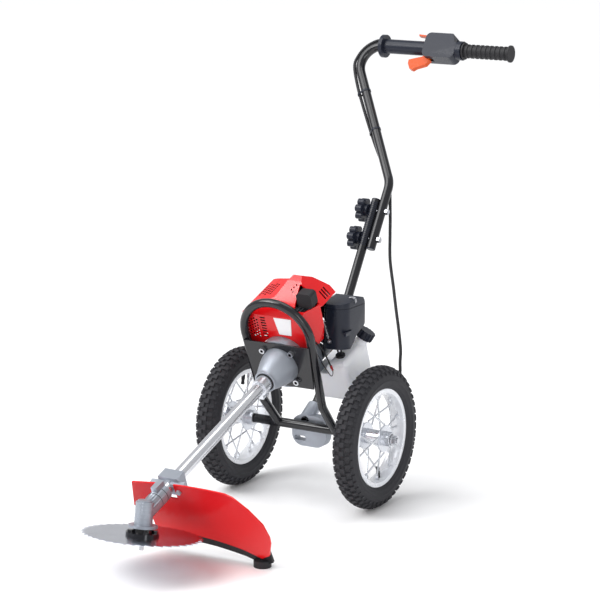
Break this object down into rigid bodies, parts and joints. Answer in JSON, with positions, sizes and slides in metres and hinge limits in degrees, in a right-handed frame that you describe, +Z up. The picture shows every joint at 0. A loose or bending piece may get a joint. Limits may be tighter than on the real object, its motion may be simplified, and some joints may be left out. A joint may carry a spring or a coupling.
{
  "type": "wheeled brush cutter",
  "caption": "Walk-behind brush cutter on two spoked wheels: a small engine drives a toothed disc through a sloping shaft and angled gear head, steered by a leaning gooseneck handle.",
  "frame": {"origin": "on the ground, midway between the wheels and straight under the axle", "axes": "+Z up, -Y forwards towards the blade, +X to the left of someone walking behind the machine and looking along -Y"},
  "size_m": [0.483, 1.376, 1.0232],
  "materials": {
    "tyre_rubber": "matte moulded rubber",
    "rim_paint": "pale silver paint",
    "hub_metal": "satin",
    "spoke_wire": "bright drawn wire",
    "plain_steel": "machined",
    "black_paint": "gloss black enamel",
    "cast_grey": "fine cast",
    "black_plastic": "fine grain",
    "black_rubber": "matte",
    "shaft_alloy": "drawn and polished",
    "blade_steel": "ground",
    "red_plastic": "gloss red moulding",
    "muffler_steel": "heat-dulled",
    "tank_plastic": "translucent white",
    "orange_plastic": "satin orange",
    "wire_sheath": "soft sheath"
  },
  "bodies": {
    "frame": {"axle_rod": "plain_steel", "axle_nuts": "plain_steel", "axle_tube": "black_paint", "ball_bearings": "plain_steel", "frame_hoop": "black_paint", "engine_plate": "black_paint", "plate_bolts": "plain_steel", "handle_socket": "cast_grey", "lower_handle": "black_paint", "upper_handle": "black_paint", "handle_bolts": "plain_steel", "clutch_housing": "cast_grey", "rubber_ring": "black_rubber", "tube_collar": "hub_metal", "shaft_tube": "shaft_alloy", "gear_head": "cast_grey", "guard": "red_plastic", "guard_skirt": "black_rubber", "guard_clamp": "cast_grey", "crankcase": "cast_grey", "cylinder_block": "cast_grey", "engine_cover": "red_plastic", "muffler_cover": "red_plastic", "muffler": "muffler_steel", "spark_cap": "black_rubber", "carburettor": "cast_grey", "air_box": "black_plastic", "fuel_tank": "tank_plastic", "starter_cover": "black_plastic", "throttle_housing": "black_plastic", "rubber_grip": "black_rubber", "throttle_cable": "black_rubber", "stop_wires": "wire_sheath"},
    "wheel_left": {"tyre_left": "tyre_rubber", "rim_left": "rim_paint", "hub_left": "hub_metal", "spokes_left": "spoke_wire"},
    "wheel_right": {"tyre_right": "tyre_rubber", "rim_right": "rim_paint", "hub_right": "hub_metal", "spokes_right": "spoke_wire"},
    "blade": {"bevel_gear": "plain_steel", "blade_spindle": "plain_steel", "blade_holder": "black_paint", "saw_blade": "blade_steel", "blade_cup": "plain_steel", "blade_nut": "plain_steel"},
    "drive": {"drive_shaft": "plain_steel", "clutch_drum": "plain_steel", "bevel_pinion": "plain_steel"},
    "crank": {"crankshaft": "plain_steel", "flywheel": "plain_steel"},
    "knob_upper": {"upper_knob": "black_plastic"},
    "knob_lower": {"lower_knob": "black_plastic"},
    "tank_cap": {"fuel_cap": "black_plastic"},
    "throttle_trigger": {"trigger": "orange_plastic"},
    "throttle_lock": {"lock_lever": "orange_plastic"},
    "ignition_switch": {"stop_switch": "orange_plastic"},
    "choke": {"choke_lever": "black_plastic"},
    "pull_handle": {"starter_handle": "black_plastic"}
  },
  "joints": [
    {"name": "wheel_left_spin", "type": "hinge", "parent": "frame", "child": "wheel_left", "pos_m": [0.1815, 0, 0.165], "axis": [1, 0, 0], "continuous": true},
    {"name": "wheel_right_spin", "type": "hinge", "parent": "frame", "child": "wheel_right", "pos_m": [-0.1815, 0, 0.165], "axis": [1, 0, 0], "continuous": true},
    {"name": "blade_spin", "type": "hinge", "parent": "frame", "child": "blade", "pos_m": [0, -0.65259, 0.13143], "axis": [0, 0.165, 0.9863], "continuous": true},
    {"name": "drive_spin", "type": "hinge", "parent": "frame", "child": "drive", "pos_m": [0, -0.1215, 0.33], "axis": [0, 0.9367, 0.3502], "continuous": true},
    {"name": "crank_spin", "type": "hinge", "parent": "frame", "child": "crank", "pos_m": [0, -0.1215, 0.33], "axis": [0, 0.9367, 0.3502], "continuous": true},
    {"name": "upper_knob_turn", "type": "hinge", "parent": "frame", "child": "knob_upper", "pos_m": [-0.0225, 0.32587, 0.61745], "axis": [1, 0, 0], "continuous": true},
    {"name": "lower_knob_turn", "type": "hinge", "parent": "frame", "child": "knob_lower", "pos_m": [-0.0225, 0.28771, 0.55639], "axis": [1, 0, 0], "continuous": true},
    {"name": "fuel_cap_turn", "type": "hinge", "parent": "frame", "child": "tank_cap", "pos_m": [0.1, 0.06673, 0.35767], "axis": [0.4894, 0.1672, 0.8559], "continuous": true},
    {"name": "trigger_pull", "type": "hinge", "parent": "frame", "child": "throttle_trigger", "pos_m": [0.01305, 0.54366, 0.966], "axis": [0, 0.848, -0.5299], "range_deg": [0, 18], "stiffness_Nm_per_rad": 0.4},
    {"name": "lock_press", "type": "hinge", "parent": "frame", "child": "throttle_lock", "pos_m": [0.01405, 0.56751, 1.00416], "axis": [0, -0.848, 0.5299], "range_deg": [0, 12], "stiffness_Nm_per_rad": 0.2},
    {"name": "stop_switch_slide", "type": "slide", "parent": "frame", "child": "ignition_switch", "axis": [1, 0, 0], "range_m": [0, 0.006]},
    {"name": "choke_turn", "type": "hinge", "parent": "frame", "child": "choke", "pos_m": [0.122, -0.01013, 0.40346], "axis": [-1, 0, 0], "range_deg": [0, 50]},
    {"name": "starter_pull", "type": "slide", "parent": "frame", "child": "pull_handle", "axis": [-1, 0, 0], "range_m": [0, 0.5], "stiffness_N_per_m": 8}
  ],
  "couplings": [
    {"joint": "drive_spin", "follows": "blade_spin", "ratio": 1.3571}
  ]
}
